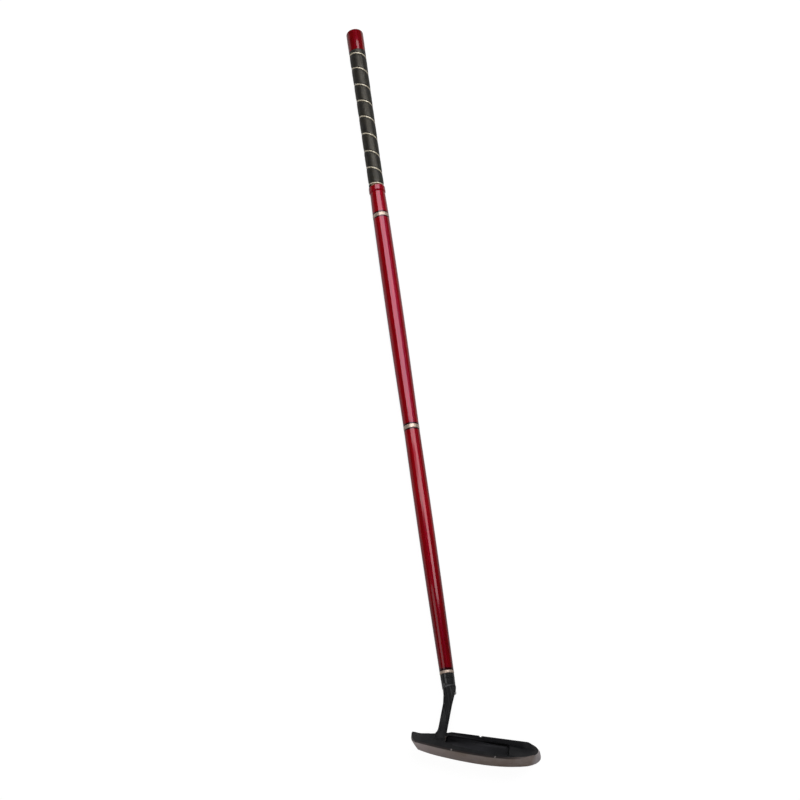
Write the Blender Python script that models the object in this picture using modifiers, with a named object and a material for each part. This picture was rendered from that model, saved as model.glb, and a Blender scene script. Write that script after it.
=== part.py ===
"""A take-apart mini golf putter: a cast heel-toe weighted head and three screwed shaft sections.

Units are metres. The putter lies on its striking face and its butt cap, as it would on a table.
The origin is the middle of the striking face, which lies in the plane z = 0. +Y runs along the
shaft towards the butt, +Z comes out of the back of the head and +X points to the toe side.
"""
import math

import bmesh
import bpy
from mathutils import Matrix, Vector

# Gap that touching pieces keep, and how far a cutter runs past what it cuts
GAP = 0.0003
OVERSHOOT = 0.002

# Shaft: three equal sections, measured from the middle of one ring to the middle of the next
SECTION_LENGTH = 0.255
LIE_ANGLE = math.radians(71.0)
LOWER_END_DIAMETER = 0.0136
MIDDLE_END_DIAMETER = 0.0161
UPPER_END_DIAMETER = 0.0178
LOWER_SWELL = 0.0013
MIDDLE_SWELL = 0.00125

# Rings between the sections, about flush with the wood
LARGE_RING_WIDTH = 0.0042
SMALL_RING_WIDTH = 0.0028
RING_PROUD = 0.00015
RING_EDGE = 0.0004

# Screw joints: a stud in the upper piece turns in a socket in the lower piece
LARGE_THREAD_RADIUS = 0.004
LARGE_THREAD_PITCH = 0.002
LARGE_THREAD_DEPTH = 0.0006
SMALL_THREAD_RADIUS = 0.003
SMALL_THREAD_PITCH = 0.0016
SMALL_THREAD_DEPTH = 0.0005
THREAD_TURNS = 4
THREAD_CLEARANCE = 0.0003
COUNTERBORE_DEPTH = 0.0008
THREAD_RELIEF = 0.0004
STUD_SHANK_LENGTH = 0.020
STUD_SHANK_STEP = 0.0004
STUD_CHAMFER = 0.0008
SOCKET_FLOOR = 0.003
SOCKET_WALL = 0.0013
SOCKET_CHAMFER = 0.0006

# Grip section, from the collar up to the butt
COLLAR_BOTTOM = 0.0305
COLLAR_WIDTH = 0.008
COLLAR_DIAMETER = 0.0182
COLLAR_EDGE = 0.0008
NECKED_END_DIAMETER = 0.0167
WRAP_LOWER_DIAMETER = 0.0164
WRAP_UPPER_DIAMETER = 0.0190
WRAP_THICKNESS = 0.0012
WRAP_EDGE_THICKNESS = 0.0006
UNDERLAY_THICKNESS = 0.0008
WRAP_PITCH = 0.0225
PIPING_DIAMETER = 0.0013
PIPING_SIDE_GAP = 0.00045
PIPING_BELOW_CAP = 0.0283
CAP_LENGTH = 0.0294
CAP_STRAIGHT_LENGTH = 0.0132
CAP_DIAMETER = 0.0197
CAP_OVER_WRAP = 0.0001
CAP_EDGE_RADIUS = 0.0025
CAP_SPIGOT_RADIUS = 0.0036
CAP_SPIGOT_LENGTH = 0.016

# Hosel, below the lowest ring
FERRULE_LENGTH = 0.0043
FERRULE_DIAMETER = 0.0134
HOSEL_LENGTH = 0.0088
HOSEL_TOP_DIAMETER = 0.0133
HOSEL_LOWER_DIAMETER = 0.0128
SLEEVE_SHOULDER_LENGTH = 0.0058
SLEEVE_SHOULDER_DIAMETER = 0.0123
SLEEVE_BODY_DIAMETER = 0.0098
SLEEVE_EDGE = 0.0005

# Blade, in the head's own axes: T from heel to toe, N from sole to top line, Z out of the back
BLADE_LENGTH = 0.1218
BLADE_HEIGHT = 0.025
BLADE_DEPTH = 0.027
FACE_EDGE = 0.0006
FACE_EDGE_INSET = 0.0005
SOLE_CAMBER = 1.15
TOP_LINE_HEIGHT = 0.0132
TOP_LINE_SLOPE = 0.075
TOP_LINE_DEPTH = 0.0072
TOP_DRAFT = 0.0012
REAR_EDGE_DROP = 0.003
CREASE_HEIGHT = 0.0035
CREASE_DEPTH = 0.0182
CREASE_STEP = 0.0012

# Heel corner, sole and toe at the face and at the rear, then the top of the heel weight.
# Each pair is shares of the blade's half length and half height.
FACE_LOWER_OUTLINE = [
    (-0.874, -0.80), (-0.675, -0.93), (-0.409, -0.98), (-0.133, -0.98), (0.164, -0.92), (0.394, -0.80),
    (0.595, -0.63), (0.813, -0.36), (0.940, -0.03), (0.997, 0.36), (0.974, 0.79), (0.926, 1.07),
]
REAR_LOWER_OUTLINE = [
    (-0.956, -0.59), (-0.705, -0.63), (-0.440, -0.65), (-0.143, -0.63), (0.148, -0.57), (0.368, -0.47),
    (0.562, -0.32), (0.716, -0.06), (0.792, 0.27), (0.812, 0.57), (0.808, 0.88), (0.777, 1.08),
]
HEEL_TOP = [
    (-0.501, 0.70), (-0.613, 0.52), (-0.746, 0.32), (-0.874, 0.15), (-0.940, 0.15), (-1.007, 0.12),
    (-0.997, -0.22),
]

# Cavity between the heel and toe weights, and the step in the flange below it
CAVITY_HALF_LENGTH = 0.0298
CAVITY_CORNER = 0.0025
FACE_THICKNESS = 0.0048
TOP_RAIL = 0.0047
FLANGE_DROP = 0.0036
FLANGE_STEP = 0.0009
FLANGE_STEP_START = 0.0228
FLANGE_STEP_END = 0.0176
FLANGE_STEP_FRONT = 0.0088
REAR_STEP = 0.0007
SIGHT_NOTCH_WIDTH = 0.0034
SIGHT_NOTCH_DEPTH = 0.0013
SIGHT_POSITION = 0.0016
SIGHT_LINE_WIDTH = 0.0012
SIGHT_LINE_DEPTH = 0.0005
SIGHT_LINE_FRONT = 0.0108

# Neck post, which rises from the heel weight and steps forward to the hosel
NECK_FROM_MIDDLE = 0.0340
NECK_CROSSING_HEIGHT = 0.0459
NECK_WIDTH = 0.0086
NECK_TOP_WIDTH = 0.0118
NECK_FRONT = 0.0118
NECK_BACK = 0.0222
NECK_CORNER = 0.0026
NECK_FOOT_DEPTH = 0.0020
NECK_FLARE_WIDTH = 0.0018
NECK_FLARE_SHIFT = 0.0008
NECK_FLARE_START = 0.0050
NECK_FLARE_END = 0.0105
NECK_SHOULDER_START = 0.012
NECK_SHOULDER_MIDDLE = 0.004
NECK_SHOULDER_END = 0.003
NECK_TOP_RISE = 0.0022
NECK_TOP_LEAN = 0.0030
HOSEL_TO_CROSSING = 0.0044

FACETS = 24
THREAD_STEPS = 12
COIL_TURN = 5.0
THREAD_OVERCUT = 0.00004

CAP_RADIUS = CAP_DIAMETER / 2
SHAFT_Z = CAP_RADIUS
HEAD_TURN = LIE_ANGLE - math.pi / 2
HEEL_TO_TOE = Vector((math.cos(HEAD_TURN), math.sin(HEAD_TURN), 0.0))
SOLE_TO_TOP = Vector((-math.sin(HEAD_TURN), math.cos(HEAD_TURN), 0.0))

# Distances down the shaft axis from the middle of the lowest ring
FERRULE_TOP = SMALL_RING_WIDTH / 2 + GAP
FERRULE_BOTTOM = FERRULE_TOP + FERRULE_LENGTH
HOSEL_TOP = FERRULE_BOTTOM + GAP
HOSEL_BOTTOM = HOSEL_TOP + HOSEL_LENGTH
SLEEVE_SHOULDER = HOSEL_BOTTOM + GAP
SLEEVE_BOTTOM = SLEEVE_SHOULDER + SLEEVE_SHOULDER_LENGTH
CROSSING = HOSEL_BOTTOM + HOSEL_TO_CROSSING

# The shaft axis crosses the neck's centre line at this point of the head
CROSSING_POINT = SOLE_TO_TOP * NECK_CROSSING_HEIGHT - HEEL_TO_TOE * NECK_FROM_MIDDLE
SHAFT_X = CROSSING_POINT.x
LOWER_JOINT_Y = CROSSING_POINT.y + CROSSING
MIDDLE_JOINT_Y = LOWER_JOINT_Y + SECTION_LENGTH
UPPER_JOINT_Y = MIDDLE_JOINT_Y + SECTION_LENGTH

WRAP_BOTTOM = COLLAR_BOTTOM + COLLAR_WIDTH + GAP
CAP_BOTTOM = SECTION_LENGTH - CAP_LENGTH
WRAP_TOP = CAP_BOTTOM - GAP
WRAP_LENGTH = WRAP_TOP - WRAP_BOTTOM
PIPING_NEAR_SIDE = WRAP_TOP - PIPING_BELOW_CAP


def clear_scene():
    for thing in list(bpy.data.objects):
        bpy.data.objects.remove(thing, do_unlink=True)


def new_collection(name):
    collection = bpy.data.collections.new(name)
    bpy.context.scene.collection.children.link(collection)
    return collection


def material(name, colour, roughness, metallic):
    made = bpy.data.materials.new(name)
    made.use_nodes = True
    shader = made.node_tree.nodes["Principled BSDF"]
    shader.inputs["Base Color"].default_value = (*colour, 1.0)
    shader.inputs["Roughness"].default_value = roughness
    shader.inputs["Metallic"].default_value = metallic
    return made


def new_object(name, mesh, collection, finish=None):
    made = bpy.data.objects.new(name, mesh)
    collection.objects.link(made)
    if finish:
        mesh.materials.append(finish)
    return made


def as_guide(made):
    made.hide_render = True
    made.display_type = "WIRE"
    return made


def on_shaft(made, joint):
    """Lay an object made about its own Z axis along the shaft, on the empty at its joint."""
    made.parent = joint
    return made


def joint_empty(name, y, collection):
    empty = bpy.data.objects.new(name, None)
    empty.location = (SHAFT_X, y, SHAFT_Z)
    empty.rotation_euler = (-math.pi / 2, 0.0, 0.0)
    collection.objects.link(empty)
    return empty


def smooth(made):
    made.data.shade_smooth()
    made.data.set_sharp_from_angle(angle=math.radians(35))


def profile_mesh(name, points, closed):
    """Edges in the XZ plane: x is the radius and z the height."""
    mesh = bpy.data.meshes.new(name)
    edges = [(i, i + 1) for i in range(len(points) - 1)]
    if closed:
        edges.append((len(points) - 1, 0))
    mesh.from_pydata([(radius, 0.0, height) for radius, height in points], edges, [])
    return mesh


def turned(name, points, collection, finish=None, hollow=False):
    """A turned solid. The profile runs down its outer side, and back up the bore of a hollow one."""
    made = new_object(name, profile_mesh(name, points, hollow), collection, finish)
    screw = made.modifiers.new("turn", "SCREW")
    screw.axis = "Z"
    screw.steps = FACETS
    screw.render_steps = FACETS
    screw.use_merge_vertices = True
    screw.merge_threshold = 0.00001
    screw.use_smooth_shade = True
    return made


def evaluated_mesh(made, name):
    graph = bpy.context.evaluated_depsgraph_get()
    graph.update()
    return bpy.data.meshes.new_from_object(made.evaluated_get(graph), depsgraph=graph)


def coil_cutter(name, section, pitch, turns, start, collection):
    """A closed helical solid of the given section, right-handed and rising from the start height."""
    points = [(radius, height + start) for radius, height in section]
    guide = new_object(name + "_path", profile_mesh(name, points, True), collection)
    screw = guide.modifiers.new("wind", "SCREW")
    screw.axis = "Z"
    screw.steps = THREAD_STEPS
    screw.render_steps = THREAD_STEPS
    screw.iterations = turns
    screw.screw_offset = pitch
    mesh = evaluated_mesh(guide, name)
    bpy.data.objects.remove(guide, do_unlink=True)
    shape = bmesh.new()
    shape.from_mesh(mesh)
    bmesh.ops.remove_doubles(shape, verts=shape.verts, dist=0.000001)
    bmesh.ops.holes_fill(shape, edges=shape.edges, sides=len(points))
    bmesh.ops.recalc_face_normals(shape, faces=shape.faces)
    # Turned a little, so that the thread's corners fall between those of the turned solids
    turn = Matrix.Rotation(math.radians(COIL_TURN), 3, "Z")
    bmesh.ops.rotate(shape, verts=shape.verts, matrix=turn)
    shape.to_mesh(mesh)
    shape.free()
    return as_guide(new_object(name, mesh, collection))


def combine(made, other, operation):
    change = made.modifiers.new(operation.lower(), "BOOLEAN")
    change.operation = operation
    change.solver = "EXACT"
    change.object = other


def loft(name, rings, collection, finish=None):
    """A closed solid through rings of equal counts, each ring counter-clockwise seen from its end."""
    shape = bmesh.new()
    rows = [[shape.verts.new(point) for point in ring] for ring in rings]
    count = len(rows[0])
    for lower, upper in zip(rows, rows[1:]):
        for i in range(count):
            j = (i + 1) % count
            shape.faces.new((lower[i], lower[j], upper[j], upper[i]))
    shape.faces.new(list(reversed(rows[0])))
    shape.faces.new(rows[-1])
    if shape.calc_volume(signed=True) < 0:
        bmesh.ops.reverse_faces(shape, faces=shape.faces)
    mesh = bpy.data.meshes.new(name)
    shape.to_mesh(mesh)
    shape.free()
    return new_object(name, mesh, collection, finish)


def prism(name, outline, low, high, place, collection):
    """A straight cutter: place(a, b, c) turns the outline's two values and the height into a point."""
    rings = [[place(a, b, level) for a, b in outline] for level in (low, high)]
    return as_guide(loft(name, rings, collection))


def curve_through(points, steps):
    """Points on a Catmull-Rom curve through the given ones, both ends included."""
    path = [points[0], *points, points[-1]]
    found = []
    for a, b, c, d in zip(path, path[1:], path[2:], path[3:]):
        for step in range(steps):
            u = step / steps
            found.append(tuple(
                0.5 * (2 * q + (r - p) * u + (2 * p - 5 * q + 4 * r - s) * u ** 2
                       + (3 * q - p - 3 * r + s) * u ** 3)
                for p, q, r, s in zip(a, b, c, d)
            ))
    return [*found, points[-1]]


def top_height(t):
    return TOP_LINE_HEIGHT + TOP_LINE_SLOPE * t


def sized(points):
    """Points given as shares of the blade's half length and half height."""
    return [(t * BLADE_LENGTH / 2, n * BLADE_HEIGHT / 2) for t, n in points]


def outline(lower, inset):
    """The blade seen from behind, counter-clockwise from the heel end of the sole."""
    top = []
    for share in (0.756, 0.460, 0.153, -0.123, -0.419):
        t = share * BLADE_LENGTH / 2
        top.append((t, top_height(t) - inset))
    heel = [(t, n - inset * 0.5) for t, n in sized(HEEL_TOP)]
    sole_and_toe = curve_through([*sized(lower), top[0]], 2)
    heel_end = curve_through([top[-1], *heel, sized(lower)[0]], 2)
    return [*sole_and_toe, *top[1:-1], *heel_end[:-1]]


def head_point(t, n, z):
    return Vector((t, n, z))


def rectangle(left, right, low, high):
    return [(left, low), (right, low), (right, high), (left, high)]


def blade(collection, finish):
    """Face, sole and walls: the walls draw in from the face towards the back."""
    face = outline(FACE_LOWER_OUTLINE, 0.0)
    rear = outline(REAR_LOWER_OUTLINE, TOP_DRAFT)
    narrower = 1 - 2 * FACE_EDGE_INSET / BLADE_LENGTH
    lower = 1 - 2 * FACE_EDGE_INSET / BLADE_HEIGHT
    rings = [[Vector((t * narrower, n * lower, 0.0)) for t, n in face]]
    for share in (FACE_EDGE / BLADE_DEPTH, 0.5, 1.0):
        # The sole is cambered from front to back as well as from heel to toe
        drawn = share ** SOLE_CAMBER
        rings.append([
            Vector((a[0] + (b[0] - a[0]) * drawn, a[1] + (b[1] - a[1]) * drawn, BLADE_DEPTH * share))
            for a, b in zip(face, rear)
        ])
    return loft("head_casting", rings, collection, finish)


def back_cutter(collection):
    """Everything behind the sloped backs of the heel and toe weights."""
    slope = (BLADE_DEPTH - CREASE_DEPTH) / (CREASE_HEIGHT + REAR_EDGE_DROP)
    upper_end = CREASE_HEIGHT + (CREASE_DEPTH - CREASE_STEP - TOP_LINE_DEPTH) / slope
    far = BLADE_DEPTH * 3
    section = [
        (-REAR_EDGE_DROP - (far - BLADE_DEPTH) / slope, far),
        (-REAR_EDGE_DROP, BLADE_DEPTH),
        (CREASE_HEIGHT, CREASE_DEPTH),
        (CREASE_HEIGHT, CREASE_DEPTH - CREASE_STEP),
        (upper_end, TOP_LINE_DEPTH),
        (BLADE_HEIGHT * 2, TOP_LINE_DEPTH),
        (BLADE_HEIGHT * 2, far),
    ]
    reach = BLADE_LENGTH
    return prism("back_cutter", section, -reach, reach, lambda n, z, t: Vector((t, n, z)), collection)


def cavity_cutter(collection):
    """The hollow behind the face, with its top rail parallel to the top line."""
    low = -CAVITY_HALF_LENGTH
    high = CAVITY_HALF_LENGTH
    corner = CAVITY_CORNER
    outline = [
        (low, -FLANGE_DROP),
        (high, -FLANGE_DROP),
        (high, top_height(high) - TOP_RAIL - corner),
        (high - corner, top_height(high - corner) - TOP_RAIL),
        (low + corner, top_height(low + corner) - TOP_RAIL),
        (low, top_height(low) - TOP_RAIL - corner),
    ]
    return prism("cavity_cutter", outline, FACE_THICKNESS, BLADE_DEPTH * 2, head_point, collection)


def flange_cutter(collection):
    """The flange is stepped down and back between its two corners."""
    section = rectangle(-FLANGE_STEP_START, FLANGE_STEP_END, -FLANGE_DROP - FLANGE_STEP, GAP - FLANGE_DROP)
    return prism("flange_cutter", section, FLANGE_STEP_FRONT, BLADE_DEPTH * 2, head_point, collection)


def rear_cutter(collection):
    """The trailing edge is set forward between the same two corners."""
    start = BLADE_DEPTH - REAR_STEP
    section = rectangle(-FLANGE_STEP_START, FLANGE_STEP_END, -BLADE_HEIGHT, 0.0)
    return prism("rear_cutter", section, start, BLADE_DEPTH * 2, head_point, collection)


def sight_notch_cutter(collection):
    """A small sighting notch across the top line, over the middle of the face."""
    half = SIGHT_NOTCH_WIDTH / 2
    top = top_height(SIGHT_POSITION)
    section = [
        (SIGHT_POSITION - half * 0.4, top - SIGHT_NOTCH_DEPTH),
        (SIGHT_POSITION + half * 0.4, top - SIGHT_NOTCH_DEPTH),
        (SIGHT_POSITION + half, top + SIGHT_NOTCH_DEPTH),
        (SIGHT_POSITION - half, top + SIGHT_NOTCH_DEPTH),
    ]
    return prism("notch_cutter", section, -BLADE_DEPTH, BLADE_DEPTH, head_point, collection)


def sight_line_cutter(collection):
    """A sighting groove along the middle of the flange, from the face plate to its rear edge."""
    left = SIGHT_POSITION - SIGHT_LINE_WIDTH / 2
    floor = -FLANGE_DROP - FLANGE_STEP - SIGHT_LINE_DEPTH
    section = rectangle(left, left + SIGHT_LINE_WIDTH, floor, -FLANGE_DROP)
    return prism("line_cutter", section, SIGHT_LINE_FRONT, BLADE_DEPTH * 2, head_point, collection)


def rounded_ring(centre, width, front, back, height):
    """A rounded rectangle across the neck, at one height above the face's middle."""
    corner = NECK_CORNER
    points = []
    corners = [
        (centre + width / 2 - corner, back - corner, 0),
        (centre - width / 2 + corner, back - corner, 1),
        (centre - width / 2 + corner, front + corner, 2),
        (centre + width / 2 - corner, front + corner, 3),
    ]
    for t, z, quarter in corners:
        for i in range(4):
            angle = math.pi / 2 * (quarter + i / 3)
            points.append(Vector((t + corner * math.cos(angle), height, z + corner * math.sin(angle))))
    return points


def neck_post(collection):
    """The post, from inside the heel weight up to the hosel, wider at both ends."""
    top = NECK_CROSSING_HEIGHT + (HOSEL_TO_CROSSING + NECK_TOP_RISE) * math.cos(HEAD_TURN)
    shift = HOSEL_TO_CROSSING * math.sin(HEAD_TURN)
    shoulder = NECK_TOP_WIDTH - NECK_WIDTH
    foot = NECK_FOOT_DEPTH - FLANGE_DROP
    # Height, sideways shift of the middle, added width, and how far the back leans forward
    stations = [(foot, -NECK_FLARE_SHIFT, NECK_FLARE_WIDTH, 0.0)]
    for share, flare in ((0.0, 1.0), (0.225, 0.47), (0.525, 0.13), (1.0, 0.0)):
        height = NECK_FLARE_START + (NECK_FLARE_END - NECK_FLARE_START) * share
        stations.append((height, -NECK_FLARE_SHIFT * flare, NECK_FLARE_WIDTH * flare, 0.0))
    stations += [
        (NECK_CROSSING_HEIGHT - NECK_SHOULDER_START, 0.0, 0.0, 0.0),
        (NECK_CROSSING_HEIGHT - NECK_SHOULDER_MIDDLE, -shoulder / 8, shoulder / 2, 0.0),
        (NECK_CROSSING_HEIGHT + NECK_SHOULDER_END, shift * 0.6, shoulder, NECK_TOP_LEAN / 10),
        (top, shift, shoulder, NECK_TOP_LEAN),
    ]
    rings = []
    for height, offset, added, lean in stations:
        centre = offset - NECK_FROM_MIDDLE
        rings.append(rounded_ring(centre, NECK_WIDTH + added, NECK_FRONT, NECK_BACK - lean, height))
    return as_guide(loft("neck_post", rings, collection))


def hosel_ring(collection):
    top = HOSEL_TOP_DIAMETER / 2
    lower = HOSEL_LOWER_DIAMETER / 2
    points = [(0.0, -HOSEL_TOP), (top, -HOSEL_TOP), (lower, -HOSEL_BOTTOM), (0.0, -HOSEL_BOTTOM)]
    return as_guide(turned("hosel_ring", points, collection))


def hosel_bore(collection):
    """Room for the threaded sleeve: its body through the hosel, its shoulder below."""
    body = SLEEVE_BODY_DIAMETER / 2 + GAP
    shoulder = SLEEVE_SHOULDER_DIAMETER / 2 + GAP
    points = [
        (0.0, -HOSEL_TOP + OVERSHOOT),
        (body, -HOSEL_TOP + OVERSHOOT),
        (body, -HOSEL_BOTTOM),
        (shoulder, -HOSEL_BOTTOM),
        (shoulder, -SLEEVE_BOTTOM - GAP * 2),
        (0.0, -SLEEVE_BOTTOM - GAP * 2),
    ]
    return as_guide(turned("hosel_bore", points, collection))


def head(joint, collection, cutters, finish):
    made = blade(collection, finish)
    made.rotation_euler = (0.0, 0.0, HEAD_TURN)
    for build in (back_cutter, cavity_cutter, flange_cutter, rear_cutter, sight_line_cutter):
        cutter = build(cutters)
        cutter.rotation_euler = (0.0, 0.0, HEAD_TURN)
        combine(made, cutter, "DIFFERENCE")
    post = neck_post(cutters)
    post.rotation_euler = (0.0, 0.0, HEAD_TURN)
    combine(made, post, "UNION")
    combine(made, on_shaft(hosel_ring(cutters), joint), "UNION")
    combine(made, on_shaft(hosel_bore(cutters), joint), "DIFFERENCE")
    notch = sight_notch_cutter(cutters)
    notch.rotation_euler = (0.0, 0.0, HEAD_TURN)
    combine(made, notch, "DIFFERENCE")
    return made


class Thread:
    """One size of screw joint: the ring's width, the thread's sizes and where the engaged turns lie."""

    def __init__(self, name, ring_width, radius, pitch, depth):
        self.name = name
        self.ring_width = ring_width
        self.radius = radius
        self.pitch = pitch
        self.depth = depth
        self.root = radius - depth
        self.mouth = -ring_width / 2 - GAP
        self.start = self.mouth - COUNTERBORE_DEPTH
        self.lead = self.start - pitch / 3
        self.engaged = THREAD_TURNS * pitch
        self.tip = self.start - self.engaged
        self.floor = self.tip - pitch - THREAD_RELIEF
        self.socket_bottom = self.floor - SOCKET_FLOOR
        self.socket_radius = radius + THREAD_CLEARANCE + SOCKET_WALL
        self.flat = (pitch - 2 * depth) * 0.25


def thread_sizes():
    large = (LARGE_THREAD_RADIUS, LARGE_THREAD_PITCH, LARGE_THREAD_DEPTH)
    small = (SMALL_THREAD_RADIUS, SMALL_THREAD_PITCH, SMALL_THREAD_DEPTH)
    return [
        Thread("lower", SMALL_RING_WIDTH, *small),
        Thread("middle", LARGE_RING_WIDTH, *large),
        Thread("upper", LARGE_RING_WIDTH, *large),
    ]


def stud(thread, joint, collection, cutters, finish):
    """A double-ended stud: its shank stays in the wood and its threaded end hangs below the ring."""
    neck = thread.radius
    shank = thread.radius - STUD_SHANK_STEP
    chamfer = thread.depth * 0.9
    top = thread.ring_width / 2 + GAP + STUD_SHANK_LENGTH
    points = [
        (0.0, top),
        (shank - STUD_CHAMFER, top),
        (shank, top - STUD_CHAMFER),
        (shank, thread.ring_width / 2),
        (neck, thread.ring_width / 2 - STUD_SHANK_STEP),
        (neck, thread.tip + chamfer),
        (neck - chamfer, thread.tip),
        (0.0, thread.tip),
    ]
    made = turned(thread.name + "_stud", points, collection, finish)
    half = thread.pitch / 2 - thread.flat / 2
    foot = half - thread.depth
    outer = thread.radius + THREAD_RELIEF
    brim = thread.radius + THREAD_OVERCUT
    section = [
        (thread.root, -foot),
        (brim, -half - THREAD_OVERCUT),
        (outer, -half - THREAD_OVERCUT),
        (outer, half + THREAD_OVERCUT),
        (brim, half + THREAD_OVERCUT),
        (thread.root, foot),
    ]
    groove_turns = THREAD_TURNS + 1
    groove_start = thread.tip - thread.pitch
    groove = coil_cutter(thread.name + "_stud_groove", section, thread.pitch, groove_turns,
                         groove_start, cutters)
    combine(made, on_shaft(groove, joint), "DIFFERENCE")
    return on_shaft(made, joint)


def thread_ridge(thread, joint, cutters):
    """What is cut from a socket's bore so that the stud's thread turns in it."""
    half = thread.flat / 2 + THREAD_CLEARANCE / 3
    root = thread.root + THREAD_CLEARANCE
    crest = thread.radius + THREAD_CLEARANCE
    spread = half + crest - root + THREAD_OVERCUT
    inner = root - THREAD_RELIEF
    section = [
        (inner, -spread),
        (root - THREAD_OVERCUT, -spread),
        (crest, -half),
        (crest, half),
        (root - THREAD_OVERCUT, spread),
        (inner, spread),
    ]
    # The stud's ridge lies half a pitch above its groove
    start = thread.tip - thread.pitch / 2
    ridge = coil_cutter(thread.name + "_socket_groove", section, thread.pitch, THREAD_TURNS + 1,
                        start, cutters)
    return on_shaft(ridge, joint)


def socket_bore(thread):
    """The inner side of a socket's profile, from its floor up to its mouth."""
    minor = thread.root + THREAD_CLEARANCE
    wide = thread.radius + THREAD_CLEARANCE + THREAD_RELIEF / 4
    return [
        (0.0, thread.floor),
        (wide, thread.floor),
        (wide, thread.tip - THREAD_CLEARANCE),
        (minor, thread.tip),
        (minor, thread.lead),
        (wide, thread.lead + THREAD_CLEARANCE),
        (wide, thread.mouth),
    ]


def socket(thread, joint, collection, cutters, finish):
    """A threaded sleeve let into the top of the section below, flush with its end."""
    outer = thread.socket_radius
    points = [
        (outer, thread.mouth),
        (outer, thread.socket_bottom + SOCKET_CHAMFER),
        (outer - SOCKET_CHAMFER, thread.socket_bottom),
        (0.0, thread.socket_bottom),
    ]
    made = turned(thread.name + "_socket", [*socket_bore(thread), *points], collection, finish)
    combine(made, thread_ridge(thread, joint, cutters), "DIFFERENCE")
    return on_shaft(made, joint)


def hosel_sleeve(thread, joint, collection, cutters, finish):
    """The bare threaded sleeve in the hosel: its shoulder bears on the hosel from below."""
    body = SLEEVE_BODY_DIAMETER / 2
    shoulder = SLEEVE_SHOULDER_DIAMETER / 2
    edge = SLEEVE_EDGE
    points = [
        (body, thread.mouth),
        (body, -SLEEVE_SHOULDER),
        (shoulder, -SLEEVE_SHOULDER),
        (shoulder, -SLEEVE_BOTTOM + edge),
        (shoulder - edge, -SLEEVE_BOTTOM),
        (0.0, -SLEEVE_BOTTOM),
    ]
    made = turned("hosel_sleeve", [*socket_bore(thread), *points], collection, finish)
    combine(made, thread_ridge(thread, joint, cutters), "DIFFERENCE")
    return on_shaft(made, joint)


def joint_ring(thread, diameter, joint, collection, finish):
    """A ring trapped on the stud's plain neck, between the two ends of the wood."""
    half = thread.ring_width / 2
    outer = diameter / 2 + RING_PROUD
    inner = thread.radius + GAP
    points = [
        (outer - RING_EDGE, half),
        (outer, half - RING_EDGE),
        (outer, -half + RING_EDGE),
        (outer - RING_EDGE, -half),
        (inner, -half),
        (inner, half),
    ]
    made = turned(thread.name + "_ring", points, collection, finish, hollow=True)
    return on_shaft(made, joint)


def swelled(share, low, high, swell):
    """A section's radius at a share of its length: straight taper plus a gentle swell."""
    return (low + (high - low) * share + swell * math.sin(math.pi * share)) / 2


def shaft_section(name, below, above, low, high, swell, joint, collection, finish):
    """A turned wooden section between two joints, bored for a stud below and a socket above."""
    bottom = below.ring_width / 2 + GAP
    top = SECTION_LENGTH + above.mouth
    count = 9
    outer = []
    for i in range(count + 1):
        height = top + (bottom - top) * i / count
        outer.append((swelled(height / SECTION_LENGTH, low, high, swell), height))
    socket_radius = above.socket_radius + GAP
    socket_floor = SECTION_LENGTH + above.socket_bottom - GAP
    stud_radius = below.radius + GAP
    stud_end = bottom + STUD_SHANK_LENGTH + GAP
    points = [
        (0.0, socket_floor),
        (socket_radius, socket_floor),
        (socket_radius, top),
        *outer,
        (stud_radius, bottom),
        (stud_radius, stud_end),
        (0.0, stud_end),
    ]
    return on_shaft(turned(name, points, collection, finish), joint)


def wrap_radius(height):
    """Outer radius of the wrap: nearly straight at first, then flaring to the cap."""
    share = (height - WRAP_BOTTOM) / WRAP_LENGTH
    share = min(max(share, 0.0), 1.0)
    flare = 0.35 * share + 0.65 * share ** 3
    return (WRAP_LOWER_DIAMETER + (WRAP_UPPER_DIAMETER - WRAP_LOWER_DIAMETER) * flare) / 2


def underlay_radius(height):
    return wrap_radius(height) - WRAP_THICKNESS - GAP


def core_radius(height):
    return underlay_radius(height) - UNDERLAY_THICKNESS - GAP


def grip_stations(count):
    return [WRAP_TOP + (WRAP_BOTTOM - WRAP_TOP) * i / count for i in range(count + 1)]


def grip_shaft(below, joint, collection, finish):
    """The top section's wood: a short bare length, a shoulder for the collar and a thinner core."""
    bottom = below.ring_width / 2 + GAP
    core_end = core_radius(WRAP_BOTTOM)
    stud_radius = below.radius + GAP
    stud_end = bottom + STUD_SHANK_LENGTH + GAP
    spigot = CAP_SPIGOT_RADIUS + GAP
    spigot_floor = WRAP_TOP - CAP_SPIGOT_LENGTH - GAP
    points = [(0.0, spigot_floor), (spigot, spigot_floor), (spigot, WRAP_TOP)]
    points += [(core_radius(height), height) for height in grip_stations(7)]
    points += [
        (core_end, COLLAR_BOTTOM - GAP),
        (NECKED_END_DIAMETER / 2, COLLAR_BOTTOM - GAP),
        ((NECKED_END_DIAMETER + UPPER_END_DIAMETER) / 4, (COLLAR_BOTTOM + bottom) / 2),
        (UPPER_END_DIAMETER / 2, bottom),
        (stud_radius, bottom),
        (stud_radius, stud_end),
        (0.0, stud_end),
    ]
    return on_shaft(turned("grip_shaft", points, collection, finish), joint)


def grip_collar(joint, collection, finish):
    """A turned collar on the core's shoulder, which holds down the lower end of the wrap."""
    outer = COLLAR_DIAMETER / 2
    inner = core_radius(WRAP_BOTTOM) + GAP
    edge = COLLAR_EDGE
    top = COLLAR_BOTTOM + COLLAR_WIDTH
    points = [
        (outer - edge, top),
        (outer, top - edge),
        (outer, COLLAR_BOTTOM + 2 * edge),
        (outer - edge, COLLAR_BOTTOM),
        (inner, COLLAR_BOTTOM),
        (inner, top),
    ]
    return on_shaft(turned("grip_collar", points, collection, finish, hollow=True), joint)


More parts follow.
